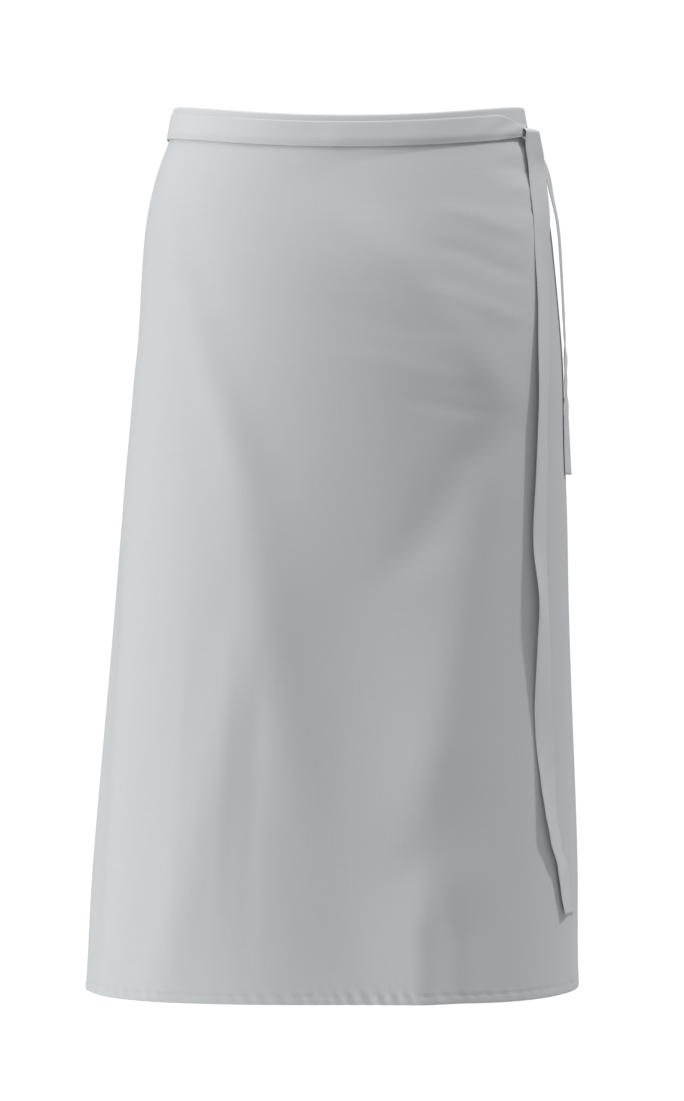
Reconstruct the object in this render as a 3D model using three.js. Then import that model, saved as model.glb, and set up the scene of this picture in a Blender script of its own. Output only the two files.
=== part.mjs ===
// A waist apron as it is worn: a rectangle of cloth round the body, open at the back, its top edge bound
// by a folded waistband whose ends run on as two ties. One tie goes round the back and across the front,
// the other across the open back, and they are knotted on the right hip with a long and a short free end.
// Millimetres, +Z up, the front towards -Y, right at +X. The origin is the centre of the waist ring.
import * as THREE from "three";

// Waist ring and skirt
const waistHalfWidth = 159;
const waistHalfDepth = 111;
const ringSquareness = 2.15;
const sideTop = 12;
const frontDip = 14;
const backDip = 2;
const apronDrop = 811;
const hemRiseLeft = 3;
const hemRiseRight = 7;
const flareLeft = 81;
const flareRight = 52;
const bellyReach = 22;
const seatReach = 26;
const backGap = 74;
const foldReach = 6;

// Cloth and tape
const clothThickness = 1.2;
const tapeThickness = 1;
const tapeWidth = 24;
const bandHeight = 24;
const hemHeight = 9;
const hemThickness = 1;
const clearance = 0.3;

// Ties and knot
const tieBelowTop = 6.8;
const knotTurn = 78.3;
const knotBelowTop = 29.5;
const knotHalfWidth = 8;
const knotHalfHeight = 7.5;
const knotHalfDepth = 4.2;
const longTailLength = 714;
const foldRise = 4;
const foldOver = 5.8;
const shortTailLength = 299;

// Resolution
const columnCount = 58;
const gapSteps = 6;
const tailSteps = 44;
const ringSamples = 240;

// Widths and depths of the skirt from the waist to the hem. drop is the share of the apron's drop,
// left and right are shares of the flare on that side, front of the belly's reach, back of the seat's.
const SECTIONS = [
  { drop: 0.0, left: -0.02, right: 0.02, front: 0.0, back: 0.0 },
  { drop: 0.037, left: 0.05, right: 0.13, front: 0.15, back: 0.12 },
  { drop: 0.064, left: 0.15, right: 0.25, front: 0.32, back: 0.28 },
  { drop: 0.095, left: 0.24, right: 0.365, front: 0.52, back: 0.48 },
  { drop: 0.132, left: 0.31, right: 0.5, front: 0.74, back: 0.7 },
  { drop: 0.176, left: 0.35, right: 0.58, front: 0.92, back: 0.9 },
  { drop: 0.262, left: 0.4, right: 0.7, front: 1.0, back: 1.0 },
  { drop: 0.308, left: 0.447, right: 0.74, front: 0.97, back: 0.98 },
  { drop: 0.376, left: 0.505, right: 0.755, front: 0.88, back: 0.9 },
  { drop: 0.512, left: 0.63, right: 0.82, front: 0.78, back: 0.75 },
  { drop: 0.671, left: 0.753, right: 0.905, front: 0.85, back: 0.7 },
  { drop: 0.829, left: 0.872, right: 0.988, front: 0.98, back: 0.7 },
  { drop: 1.0, left: 0.99, right: 1.045, front: 1.12, back: 0.7 },
];

// Soft folds: each runs from (across, drop) to (acrossEnd, dropEnd). across and spread are shares of half
// the cloth's width, height is a share of the fold reach, and a valley's height is negative.
const FOLDS = [
  { name: "left thigh", across: -0.3, drop: 0.3, acrossEnd: -0.4, dropEnd: 1.1, spread: 0.17, height: 0.8 },
  { name: "valley", across: 0.03, drop: 0.36, acrossEnd: 0.0, dropEnd: 1.15, spread: 0.15, height: -1.1 },
  { name: "right thigh", across: 0.3, drop: 0.38, acrossEnd: 0.19, dropEnd: 0.84, spread: 0.1, height: 0.7 },
  { name: "under belly", across: 0.36, drop: 0.33, acrossEnd: 0.08, dropEnd: 0.55, spread: 0.07, height: -0.4 },
  { name: "left hip dip", across: -0.44, drop: 0.1, acrossEnd: -0.34, dropEnd: 0.24, spread: 0.06, height: -0.35 },
  { name: "hem puff", across: 0.13, drop: 0.84, acrossEnd: 0.15, dropEnd: 1.1, spread: 0.07, height: 0.5 },
  { name: "hem dent", across: 0.27, drop: 0.86, acrossEnd: 0.28, dropEnd: 1.1, spread: 0.06, height: -0.4 },
  { name: "left back", across: -0.8, drop: 0.25, acrossEnd: -0.86, dropEnd: 1.1, spread: 0.08, height: 1.2 },
  { name: "left back dent", across: -0.66, drop: 0.4, acrossEnd: -0.7, dropEnd: 1.1, spread: 0.07, height: -0.9 },
  { name: "right back", across: 0.78, drop: 0.25, acrossEnd: 0.84, dropEnd: 1.1, spread: 0.08, height: 1.3 },
  { name: "right back dent", across: 0.66, drop: 0.45, acrossEnd: 0.7, dropEnd: 1.1, spread: 0.06, height: -0.8 },
];

// The long free end: drop is the share of its length, across and depth the place of its left edge as
// shares of the skirt's half width and front depth there, turn how far it faces sideways in degrees,
// width its share of the tape's width, less at the knot.
const LONG_TAIL = [
  { drop: 0.0, across: 1.0, depth: 0.41, turn: 36, width: 0.76 },
  { drop: 0.02, across: 0.972, depth: 0.415, turn: 41, width: 0.82 },
  { drop: 0.042, across: 0.959, depth: 0.4, turn: 50, width: 0.95 },
  { drop: 0.076, across: 0.94, depth: 0.43, turn: 50, width: 1.0 },
  { drop: 0.146, across: 0.911, depth: 0.478, turn: 57, width: 1.0 },
  { drop: 0.221, across: 0.893, depth: 0.531, turn: 62, width: 1.0 },
  { drop: 0.28, across: 0.88, depth: 0.586, turn: 65, width: 1.0 },
  { drop: 0.357, across: 0.87, depth: 0.626, turn: 67, width: 1.0 },
  { drop: 0.437, across: 0.856, depth: 0.65, turn: 65, width: 1.0 },
  { drop: 0.528, across: 0.832, depth: 0.666, turn: 58, width: 1.0 },
  { drop: 0.598, across: 0.853, depth: 0.68, turn: 69, width: 1.0 },
  { drop: 0.654, across: 0.841, depth: 0.667, turn: 62, width: 1.0 },
  { drop: 0.73, across: 0.818, depth: 0.645, turn: 48, width: 1.0 },
  { drop: 0.768, across: 0.819, depth: 0.639, turn: 47, width: 1.0 },
  { drop: 0.806, across: 0.832, depth: 0.64, turn: 53, width: 1.0 },
  { drop: 0.857, across: 0.854, depth: 0.64, turn: 62, width: 1.0 },
  { drop: 0.887, across: 0.866, depth: 0.64, turn: 65, width: 1.0 },
  { drop: 0.92, across: 0.896, depth: 0.575, turn: 65, width: 1.0 },
  { drop: 0.94, across: 0.915, depth: 0.525, turn: 65, width: 1.0 },
  { drop: 0.97, across: 0.934, depth: 0.48, turn: 69, width: 1.0 },
  { drop: 1.0, across: 0.949, depth: 0.44, turn: 72, width: 1.0 },
];

// The short free end: drop is the share of its length, away how far its middle hangs outside the skirt's
// side as a share of the tape's width, depth its place in front of the side as a share of the skirt's
// front depth there, turn how far it faces sideways in degrees, width its share of the tape's width, less at the knot.
const SHORT_TAIL = [
  { drop: 0.0, away: 0.31, depth: 0.27, turn: 64, width: 0.45 },
  { drop: 0.07, away: 0.35, depth: 0.171, turn: 76, width: 0.75 },
  { drop: 0.16, away: 0.31, depth: 0.107, turn: 86, width: 1.0 },
  { drop: 0.3, away: 0.27, depth: 0.083, turn: 88, width: 1.0 },
  { drop: 0.5, away: 0.2, depth: 0.076, turn: 87, width: 1.0 },
  { drop: 0.64, away: 0.14, depth: 0.076, turn: 84, width: 1.0 },
  { drop: 0.76, away: 0.098, depth: 0.0765, turn: 80, width: 1.0 },
  { drop: 0.88, away: 0.12, depth: 0.077, turn: 76, width: 1.0 },
  { drop: 1.0, away: 0.14, depth: 0.078, turn: 74, width: 1.0 },
];

// The tie across the open back: way is the share of its path from the band's left end to the knot,
// below how far its middle lies under the band's top edge, as a share of the tape's width, and proud
// how far it stands outside the cloth's middle, as a share of that width.
const BACK_TIE = [
  { way: 0.0, below: 0.5, proud: 0.0 },
  { way: 0.06, below: 0.72, proud: 0.0 },
  { way: 0.13, below: 1.44, proud: 0.0 },
  { way: 0.19, below: 1.76, proud: 0.02 },
  { way: 0.27, below: 1.82, proud: 0.1 },
  { way: 0.45, below: 1.8, proud: 0.1 },
  { way: 0.65, below: 1.7, proud: 0.1 },
  { way: 0.85, below: 1.45, proud: 0.13 },
  { way: 1.0, below: 1.2, proud: 0.22 },
];

// A column of a table at a place between its rows, on a smooth curve through them.
function between(rows, place, column, at) {
  const last = rows.length - 1;
  if (at <= rows[0][place]) return rows[0][column];
  if (at >= rows[last][place]) return rows[last][column];
  let i = 0;
  while (rows[i + 1][place] < at) i++;
  const slope = (k) => {
    const before = Math.max(k - 1, 0);
    const after = Math.min(k + 1, last);
    return (rows[after][column] - rows[before][column]) / (rows[after][place] - rows[before][place]);
  };
  const span = rows[i + 1][place] - rows[i][place];
  const u = (at - rows[i][place]) / span;
  const v = 1 - u;
  return (
    rows[i][column] * (1 + 2 * u) * v * v +
    rows[i + 1][column] * u * u * (3 - 2 * u) +
    span * u * v * (slope(i) * v - slope(i + 1) * u)
  );
}

const smooth = (from, to, at) => THREE.MathUtils.smoothstep(at, from, to);

// One level of the skirt: its outline by angle, 0 at the front and positive to the right, the angle of the
// point that lies a given length along it from the front, and the length to an angle on the right.
function makeRing(drop) {
  const left = waistHalfWidth + flareLeft * between(SECTIONS, "drop", "left", drop);
  const right = waistHalfWidth + flareRight * between(SECTIONS, "drop", "right", drop);
  const front = waistHalfDepth + bellyReach * between(SECTIONS, "drop", "front", drop);
  const back = waistHalfDepth + seatReach * between(SECTIONS, "drop", "back", drop);
  const bend = (value) => Math.sign(value) * Math.pow(Math.abs(value), 2 / ringSquareness);
  const outline = (angle) => {
    const x = bend(Math.sin(angle));
    const y = -bend(Math.cos(angle));
    return [x * (x < 0 ? left : right), y * (y < 0 ? front : back)];
  };
  const lengths = [0, 1].map((side) => {
    const sums = [0];
    for (let i = 1; i <= ringSamples; i++) {
      const turn = (side ? 1 : -1) * (Math.PI / ringSamples);
      const [x0, y0] = outline(turn * (i - 1));
      const [x1, y1] = outline(turn * i);
      sums.push(sums[i - 1] + Math.hypot(x1 - x0, y1 - y0));
    }
    return sums;
  });
  const angleOf = (across) => {
    const sums = lengths[across < 0 ? 0 : 1];
    const length = Math.min(Math.abs(across), sums[ringSamples]);
    let i = 1;
    while (i < ringSamples && sums[i] < length) i++;
    const share = (length - sums[i - 1]) / (sums[i] - sums[i - 1]);
    return Math.sign(across) * (i - 1 + share) * (Math.PI / ringSamples);
  };
  const lengthTo = (angle) => {
    const at = (angle / Math.PI) * ringSamples;
    const i = Math.floor(at);
    return THREE.MathUtils.lerp(lengths[1][i], lengths[1][i + 1], at - i);
  };
  const around = lengths[0][ringSamples] + lengths[1][ringSamples];
  return { outline, angleOf, lengthTo, right, front, around };
}

const rings = new Map();
function ringAt(drop) {
  const key = Math.round(drop * 1e5);
  if (!rings.has(key)) rings.set(key, makeRing(key / 1e5));
  return rings.get(key);
}

const clothWidth = ringAt(0).around - backGap;
const clothEdge = clothWidth / 2;
const knotAcross = ringAt(0).lengthTo(THREE.MathUtils.degToRad(knotTurn));

// The angle of a place across the cloth, at a share of the drop. Past the right edge it runs on over the
// open back to the left edge.
function angleAt(across, drop) {
  const ring = ringAt(drop);
  if (across <= clothEdge) return ring.angleOf(across);
  const from = ring.angleOf(clothEdge);
  const to = 2 * Math.PI + ring.angleOf(-clothEdge);
  return THREE.MathUtils.lerp(from, to, (across - clothEdge) / backGap);
}

// Heights of the band's top edge and of the hem at an angle round the ring.
function topAt(angle) {
  const deep = Math.cos(angle);
  return sideTop - (deep > 0 ? frontDip : backDip) * deep * deep;
}
function hemAt(angle) {
  const beside = Math.sin(angle);
  const rise = (beside < 0 ? hemRiseLeft : hemRiseRight) * Math.pow(Math.abs(beside), 6);
  return sideTop - apronDrop + rise;
}

function foldHeight(across, drop) {
  let height = 0;
  for (const fold of FOLDS) {
    const along = (drop - fold.drop) / (fold.dropEnd - fold.drop);
    const middle = THREE.MathUtils.lerp(fold.across, fold.acrossEnd, along);
    const off = (across / clothEdge - middle) / fold.spread;
    const fade = smooth(0, 0.3, along) * (1 - smooth(0.7, 1, along));
    height += fold.height * fade * Math.exp(-off * off);
  }
  return foldReach * height;
}

// The middle of the cloth, at a place across it and a share of the drop.
function clothPoint(across, drop) {
  const angle = angleAt(across, drop);
  const ring = ringAt(drop);
  const [x, y] = ring.outline(angle);
  const top = topAt(angle);
  const z = top + drop * (hemAt(angle) - top);
  const [xa, ya] = ring.outline(angle - 0.01);
  const [xb, yb] = ring.outline(angle + 0.01);
  const out = new THREE.Vector3(yb - ya, xa - xb, 0).normalize();
  return new THREE.Vector3(x, y, z).addScaledVector(out, foldHeight(across, drop));
}

// A point that stands proud of the cloth's middle, square to it.
function proudPoint(across, drop, proud) {
  const step = 2;
  const beside = clothPoint(across + step, drop).sub(clothPoint(across - step, drop));
  const up = clothPoint(across, drop - step / apronDrop).sub(clothPoint(across, drop + step / apronDrop));
  const out = beside.cross(up).normalize();
  return clothPoint(across, drop).addScaledVector(out, proud);
}

// Places by length: so far below the band's top edge, or above the hem.
const dropBelow = (below) => below / apronDrop;
const dropAbove = (above) => 1 - above / apronDrop;

// Six times the volume inside a closed surface, negative where its faces point inwards.
function volumeOf(points, faces) {
  let sum = 0;
  const corner = (i) => new THREE.Vector3(points[3 * i], points[3 * i + 1], points[3 * i + 2]);
  for (let f = 0; f < faces.length; f += 3) {
    sum += corner(faces[f]).dot(corner(faces[f + 1]).cross(corner(faces[f + 2])));
  }
  return sum;
}

// A closed solid, drawn along the stations from a section with two sides of as many points each. place
// gives a section's point at a station. Each four-cornered face is split along its shorter diagonal, so
// layers of cloth that lie over each other have parallel faces.
function loft(outer, inner, stations, place) {
  const section = [...outer, ...inner.toReversed()];
  const count = section.length;
  const points = [];
  for (const station of stations) {
    for (const corner of section) points.push(...place(station, corner).toArray());
  }
  const length = (i, j) => Math.hypot(...[0, 1, 2].map((k) => points[3 * i + k] - points[3 * j + k]));
  const faces = [];
  const face = (a, b, c, d) => {
    if (length(b, d) < length(a, c)) faces.push(a, b, d, b, c, d);
    else faces.push(a, b, c, a, c, d);
  };
  for (let s = 0; s + 1 < stations.length; s++) {
    for (let i = 0; i < count; i++) {
      const a = s * count + i;
      const b = s * count + ((i + 1) % count);
      face(a, b, b + count, a + count);
    }
  }
  const end = (stations.length - 1) * count;
  for (let i = 0; i + 1 < outer.length; i++) {
    const across = count - 1 - i;
    face(i + 1, i, across, across - 1);
    face(end + i, end + i + 1, end + across - 1, end + across);
  }
  if (volumeOf(points, faces) < 0) faces.reverse();
  const geometry = new THREE.BufferGeometry();
  geometry.setAttribute("position", new THREE.Float32BufferAttribute(points, 3));
  geometry.setIndex(faces);
  return geometry;
}

// Evenly spaced numbers, both ends included.
function spread(from, to, steps) {
  return Array.from({ length: steps + 1 }, (_, i) => from + ((to - from) * i) / steps);
}

const columns = spread(-clothEdge, clothEdge, columnCount);
const halfCloth = clothThickness / 2;
const bandInner = halfCloth + clearance;
const bandOuter = bandInner + tapeThickness;
const halfTape = tapeThickness / 2;

// Levels of the cloth below the band, which its side hems share.
const clothLevels = [...spread(dropBelow(bandHeight + tieBelowTop), 0.2, 5), ...spread(0.235, 0.96, 17)];

function skirtPanel() {
  const rows = [
    dropBelow(tapeThickness + clearance),
    dropBelow(tieBelowTop),
    dropBelow(bandHeight),
    ...clothLevels,
    dropAbove(hemHeight),
    dropAbove(hemThickness + clearance),
  ];
  const outer = rows.map((drop) => [halfCloth, drop]);
  const inner = rows.map((drop) => [-halfCloth, drop]);
  const inset = hemThickness + clearance;
  const across = [-clothEdge + inset, ...columns.slice(1, -1), clothEdge - inset];
  return loft(outer, inner, across, (at, [proud, drop]) => proudPoint(at, drop, proud));
}

// The section of a hem: from the fold round the cloth's edge to the end of the strip inside, as
// distances outside the cloth's middle and from its edge.
const hemInside = -halfCloth - clearance;
const hemOuter = (width) => [
  [halfCloth, 0],
  [hemInside - hemThickness, 0],
  [hemInside - hemThickness, width],
];
const hemInner = (width) => [
  [halfCloth, hemThickness],
  [hemInside, hemThickness],
  [hemInside, width],
];

function bottomHem() {
  const inset = hemThickness + clearance;
  const across = [-clothEdge + inset, ...columns.slice(1, -1), clothEdge - inset];
  return loft(hemOuter(hemHeight), hemInner(hemHeight), across, (at, [proud, above]) =>
    proudPoint(at, dropAbove(above), proud),
  );
}

function sideHem(side) {
  const width = clothEdge - columns[columns.length - 2];
  const levels = [
    dropBelow(bandHeight + 2 * clearance),
    ...clothLevels,
    dropAbove(hemHeight + 2 * clearance),
  ];
  return loft(hemOuter(width), hemInner(width), levels, (drop, [proud, inward]) =>
    proudPoint(side * (clothEdge - inward), drop, proud),
  );
}

function waistband() {
  const side = (proud, top) => [
    [proud, bandHeight],
    [proud, tieBelowTop],
    [proud, top],
    [-proud, top],
    [-proud, tieBelowTop],
    [-proud, bandHeight],
  ];
  return loft(side(bandOuter, 0), side(bandInner, tapeThickness), columns, (at, [proud, below]) =>
    proudPoint(at, dropBelow(below), proud),
  );
}

// The tie from the band's right end: over the open back, then round the left side and across the front
// outside the band, where its top edge is drawn down into the knot. Its levels start as the band's own.
function wrapTie() {
  const knotSide = knotAcross - knotHalfWidth - clearance;
  const overGap = spread(clothEdge + clearance, clothEdge + backGap, gapSteps);
  const onBand = columns.slice(1).filter((at) => at < knotSide - clearance);
  const outside = bandOuter + clearance + halfTape;
  const onStart = [tapeThickness / 2, tieBelowTop, bandHeight];
  const onFront = [tieBelowTop, bandHeight, bandHeight + tieBelowTop - 1];
  const atKnot = [tieBelowTop + 11, bandHeight, bandHeight + tieBelowTop - 2.5];
  const side = (proud) => [0, 1, 2].map((row) => [proud, row]);
  return loft(side(halfTape), side(-halfTape), [...overGap, ...onBand, knotSide], (at, [proud, row]) => {
    const past = at - clothEdge;
    const lifted = past > 0 ? smooth(0, 0.8 * backGap, past) : 1;
    const lowered = past > 0 ? 0 : smooth(-clothEdge, -0.6 * clothEdge, at);
    const drawn = past > 0 ? 0 : smooth(knotSide - 42, knotSide, at);
    const onWay = THREE.MathUtils.lerp(onStart[row], onFront[row], lowered);
    const level = THREE.MathUtils.lerp(onWay, atKnot[row], drawn);
    const slack = 2.4 * lowered * (1 - lowered) + 2.2 * drawn;
    return proudPoint(at, dropBelow(level), outside * lifted + slack + proud);
  });
}

// The tie from the band's left end: it slants down across the open back under the other tie, then runs
// along the right side just below the band and up to the knot.
function backTie() {
  const knotSide = knotAcross + knotHalfWidth + clearance;
  const overGap = spread(clothEdge + backGap - clearance, clothEdge, gapSteps + 4);
  const onSkirt = columns.filter((at) => at > knotSide + clearance && at < clothEdge - 1).reverse();
  const stations = [...overGap, ...onSkirt, knotSide];
  const way = (at) => (stations[0] - at) / (stations[0] - knotSide);
  const side = (proud) => [-0.5, 0.5].map((share) => [proud, share]);
  return loft(side(halfTape), side(-halfTape), stations, (at, [proud, share]) => {
    const below = tapeWidth * between(BACK_TIE, "way", "below", way(at));
    const away = tapeWidth * between(BACK_TIE, "way", "proud", way(at));
    const narrow = 1 - 0.45 * smooth(0.88, 1, way(at));
    return proudPoint(at, dropBelow(below + share * tapeWidth * narrow), away + proud);
  });
}

// The frame of the knot: its middle, and the directions along the ring, up and out.
const knotOut = bandOuter + clearance + knotHalfDepth;
const knotMiddle = proudPoint(knotAcross, dropBelow(knotBelowTop), knotOut);
const knotOutward = knotMiddle.clone().sub(clothPoint(knotAcross, dropBelow(knotBelowTop))).setZ(0).normalize();
const knotAlong = new THREE.Vector3(0, 0, 1).cross(knotOutward);

function knot() {
  const geometry = new THREE.SphereGeometry(1, 20, 12);
  const point = new THREE.Vector3();
  const corners = geometry.attributes.position;
  for (let i = 0; i < corners.count; i++) {
    point.fromBufferAttribute(corners, i);
    const crease = 1 - 0.12 * Math.exp(-Math.pow((point.x + point.y * 0.6) / 0.16, 2));
    const placed = knotMiddle
      .clone()
      .addScaledVector(knotAlong, point.x * knotHalfWidth * crease)
      .addScaledVector(knotOutward, point.z * knotHalfDepth * crease);
    placed.z += point.y * knotHalfHeight;
    corners.setXYZ(i, placed.x, placed.y, placed.z);
  }
  return geometry;
}

// A flat tape along a line of stations, each with the two ends of the tape's width.
function tape(stations) {
  const middles = stations.map(({ a, b }) => a.clone().add(b).multiplyScalar(0.5));
  const side = (proud) => [-0.5, 0.5].map((share) => [proud, share]);
  const indices = stations.map((_, i) => i);
  return loft(side(halfTape), side(-halfTape), indices, (i, [proud, share]) => {
    const before = middles[Math.max(i - 1, 0)];
    const after = middles[Math.min(i + 1, middles.length - 1)];
    const width = stations[i].b.clone().sub(stations[i].a);
    const out = width.clone().cross(after.clone().sub(before)).normalize();
    return middles[i].clone().addScaledVector(width, share).addScaledVector(out, proud);
  });
}

// The share of the drop at a height on the skirt's side.
const dropOfHeight = (z) => (sideTop - z) / apronDrop;

// The long free end comes out on the knot's top, folds over its shoulder and hangs down in front of the hip.
function longTail() {
  const top = knotMiddle.z + knotHalfHeight + halfTape - clearance;
  const hanging = spread(0, 1, tailSteps).map((drop) => {
    const z = top - foldRise - (longTailLength - foldRise) * drop;
    const ring = ringAt(dropOfHeight(z));
    const x = ring.right * between(LONG_TAIL, "drop", "across", drop);
    const y = -ring.front * between(LONG_TAIL, "drop", "depth", drop);
    const turn = THREE.MathUtils.degToRad(between(LONG_TAIL, "drop", "turn", drop));
    const width = tapeWidth * between(LONG_TAIL, "drop", "width", drop);
    const a = new THREE.Vector3(x, y, z);
    return { a, b: a.clone().add(new THREE.Vector3(width * Math.cos(turn), width * Math.sin(turn), 0)) };
  });
  const { a, b } = hanging[0];
  const inward = new THREE.Vector3(a.y - b.y, b.x - a.x, 0).normalize();
  const folded = spread(Math.PI / 2, 0, 5).slice(0, -1).map((turn) => {
    const move = inward.clone().multiplyScalar(foldOver * (1 - Math.cos(turn)));
    move.z = foldRise * Math.sin(turn);
    return { a: a.clone().add(move), b: b.clone().add(move) };
  });
  return tape([...folded, ...hanging]);
}

function shortTail() {
  const top = knotMiddle.z - knotHalfHeight - clearance;
  const stations = spread(0, 1, 22).map((drop) => {
    const z = top - shortTailLength * drop;
    const ring = ringAt(dropOfHeight(z));
    const forward = between(SHORT_TAIL, "drop", "depth", drop);
    const share = Math.pow(forward, ringSquareness);
    const beside = ring.right * Math.pow(1 - share, 1 / ringSquareness);
    const middle = new THREE.Vector3(
      beside + tapeWidth * between(SHORT_TAIL, "drop", "away", drop),
      -ring.front * forward,
      z,
    );
    const turn = THREE.MathUtils.degToRad(between(SHORT_TAIL, "drop", "turn", drop));
    const width = tapeWidth * between(SHORT_TAIL, "drop", "width", drop);
    const half = new THREE.Vector3(Math.cos(turn), Math.sin(turn), 0).multiplyScalar(width / 2);
    return { a: middle.clone().sub(half), b: middle.clone().add(half) };
  });
  return tape(stations);
}

const cloth = { color: 0xcdcfd1, roughness: 0.9, metalness: 0 };
const tapeCloth = { color: 0xd3d4d6, roughness: 0.9, metalness: 0 };

const apron = new THREE.Group();
function add(name, geometry, finish) {
  const mesh = new THREE.Mesh(geometry, new THREE.MeshStandardMaterial(finish));
  mesh.name = name;
  apron.add(mesh);
}

add("skirt_panel", skirtPanel(), cloth);
add("bottom_hem", bottomHem(), cloth);
add("side_hem_left", sideHem(-1), cloth);
add("side_hem_right", sideHem(1), cloth);
add("waistband", waistband(), tapeCloth);
add("wrap_tie", wrapTie(), tapeCloth);
add("back_tie", backTie(), tapeCloth);
add("knot", knot(), tapeCloth);
add("long_tail", longTail(), tapeCloth);
add("short_tail", shortTail(), tapeCloth);

export default apron;
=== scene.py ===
"""A waist apron in its worn form: its cloth, bound waistband, two ties, knot and free ends."""

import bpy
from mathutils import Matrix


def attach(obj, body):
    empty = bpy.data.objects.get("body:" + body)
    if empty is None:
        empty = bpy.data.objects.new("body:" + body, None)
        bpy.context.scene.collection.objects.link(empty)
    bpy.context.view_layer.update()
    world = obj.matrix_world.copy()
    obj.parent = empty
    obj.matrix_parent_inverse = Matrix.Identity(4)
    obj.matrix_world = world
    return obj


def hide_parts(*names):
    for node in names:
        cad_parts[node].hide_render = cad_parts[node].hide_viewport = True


bl_info = {
    "name": "Worn Waist Apron",
    "version": (1, 0, 0),
    "blender": (4, 5, 0),
    "location": "3D View > Sidebar > Apron",
    "description": "Makes a waist apron as it is worn, from the sizes of its ring, skirt, tape and ties",
    "category": "Add Mesh",
}

import math
from types import SimpleNamespace

import bpy
import numpy as np
from bpy.props import FloatProperty, FloatVectorProperty, PointerProperty
from mathutils import Vector

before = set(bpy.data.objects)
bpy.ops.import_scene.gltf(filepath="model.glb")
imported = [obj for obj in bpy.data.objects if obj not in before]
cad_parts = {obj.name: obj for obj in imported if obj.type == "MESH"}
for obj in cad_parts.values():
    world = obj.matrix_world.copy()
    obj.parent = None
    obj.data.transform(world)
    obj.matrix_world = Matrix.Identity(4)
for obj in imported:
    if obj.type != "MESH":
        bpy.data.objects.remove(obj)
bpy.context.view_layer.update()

MM = 0.001
BODY = "root"


# Tables

def table(columns, rows):
    """A short table, as one array for each of its named columns."""
    return dict(zip(columns.split(), np.array(rows, float).T))


# The skirt from the waist to the hem. left and right are shares of the flare on that side, front of the
# belly's reach, back of the seat's.
SECTIONS = table(
    "drop left right front back",
    [
        (0.0, -0.02, 0.02, 0.0, 0.0),
        (0.037, 0.05, 0.13, 0.15, 0.12),
        (0.064, 0.15, 0.25, 0.32, 0.28),
        (0.095, 0.24, 0.365, 0.52, 0.48),
        (0.132, 0.31, 0.5, 0.74, 0.7),
        (0.176, 0.35, 0.58, 0.92, 0.9),
        (0.262, 0.4, 0.7, 1.0, 1.0),
        (0.308, 0.447, 0.74, 0.97, 0.98),
        (0.376, 0.505, 0.755, 0.88, 0.9),
        (0.512, 0.63, 0.82, 0.78, 0.75),
        (0.671, 0.753, 0.905, 0.85, 0.7),
        (0.829, 0.872, 0.988, 0.98, 0.7),
        (1.0, 0.99, 1.045, 1.12, 0.7),
    ],
)

# Soft folds, each from (across, drop) to (across_end, drop_end). across and spread are shares of half
# the cloth's width, height a share of the fold reach, below zero in a valley.
MAIN_FOLDS = table(
    "across drop across_end drop_end spread height",
    [
        (-0.3, 0.3, -0.4, 1.1, 0.17, 0.8),
        (0.03, 0.36, 0.0, 1.15, 0.15, -1.1),
        (0.3, 0.38, 0.19, 0.84, 0.1, 0.7),
        (0.36, 0.33, 0.08, 0.55, 0.07, -0.4),
        (-0.44, 0.1, -0.34, 0.24, 0.06, -0.35),
        (0.13, 0.84, 0.15, 1.1, 0.07, 0.5),
        (0.27, 0.86, 0.28, 1.1, 0.06, -0.4),
        (-0.8, 0.25, -0.86, 1.1, 0.08, 1.2),
        (-0.66, 0.4, -0.7, 1.1, 0.07, -0.9),
        (0.78, 0.25, 0.84, 1.1, 0.08, 1.3),
        (0.66, 0.45, 0.7, 1.1, 0.06, -0.8),
    ],
)

# Smaller folds, which only the finer cloth has: soft edges down the front, the drag across it, the puffs
# near the hem, the flat ripples over the upper front and the wrinkles beside the knot.
FINE_FOLDS = table(
    "across drop across_end drop_end spread height",
    [
        (-0.5, 0.06, -0.2, 0.46, 0.05, 0.5),
        (-0.3, 0.24, -0.1, 0.84, 0.07, 0.55),
        (-0.18, 0.5, -0.5, 1.1, 0.065, 0.45),
        (-0.02, 0.08, 0.42, 0.36, 0.07, 0.4),
        (0.32, 0.14, 0.3, 0.5, 0.1, 0.65),
        (0.37, 0.34, 0.14, 0.86, 0.065, 0.35),
        (0.17, 0.82, 0.18, 1.14, 0.04, 0.55),
        (0.25, 0.84, 0.26, 1.14, 0.035, -0.35),
        (-0.36, 0.5, -0.42, 0.98, 0.022, 0.1),
        (-0.25, 0.5, -0.31, 0.98, 0.022, 0.1),
        (-0.19, 0.55, -0.24, 1.02, 0.022, -0.08),
        (0.2, 0.1, 0.46, 0.15, 0.05, 0.12),
        (0.18, 0.14, 0.46, 0.2, 0.05, -0.12),
        (0.16, 0.19, 0.46, 0.25, 0.05, 0.1),
        (-0.12, 0.2, 0.26, 0.26, 0.09, -0.1),
        (-0.05, 0.26, 0.3, 0.31, 0.08, 0.1),
        (0.08, 0.31, 0.36, 0.35, 0.07, -0.1),
        (0.36, 0.04, 0.56, 0.064, 0.05, 0.22),
        (0.36, 0.062, 0.56, 0.084, 0.05, -0.2),
        (0.38, 0.086, 0.56, 0.104, 0.045, 0.18),
        (0.38, 0.108, 0.56, 0.124, 0.045, -0.14),
    ],
)

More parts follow.
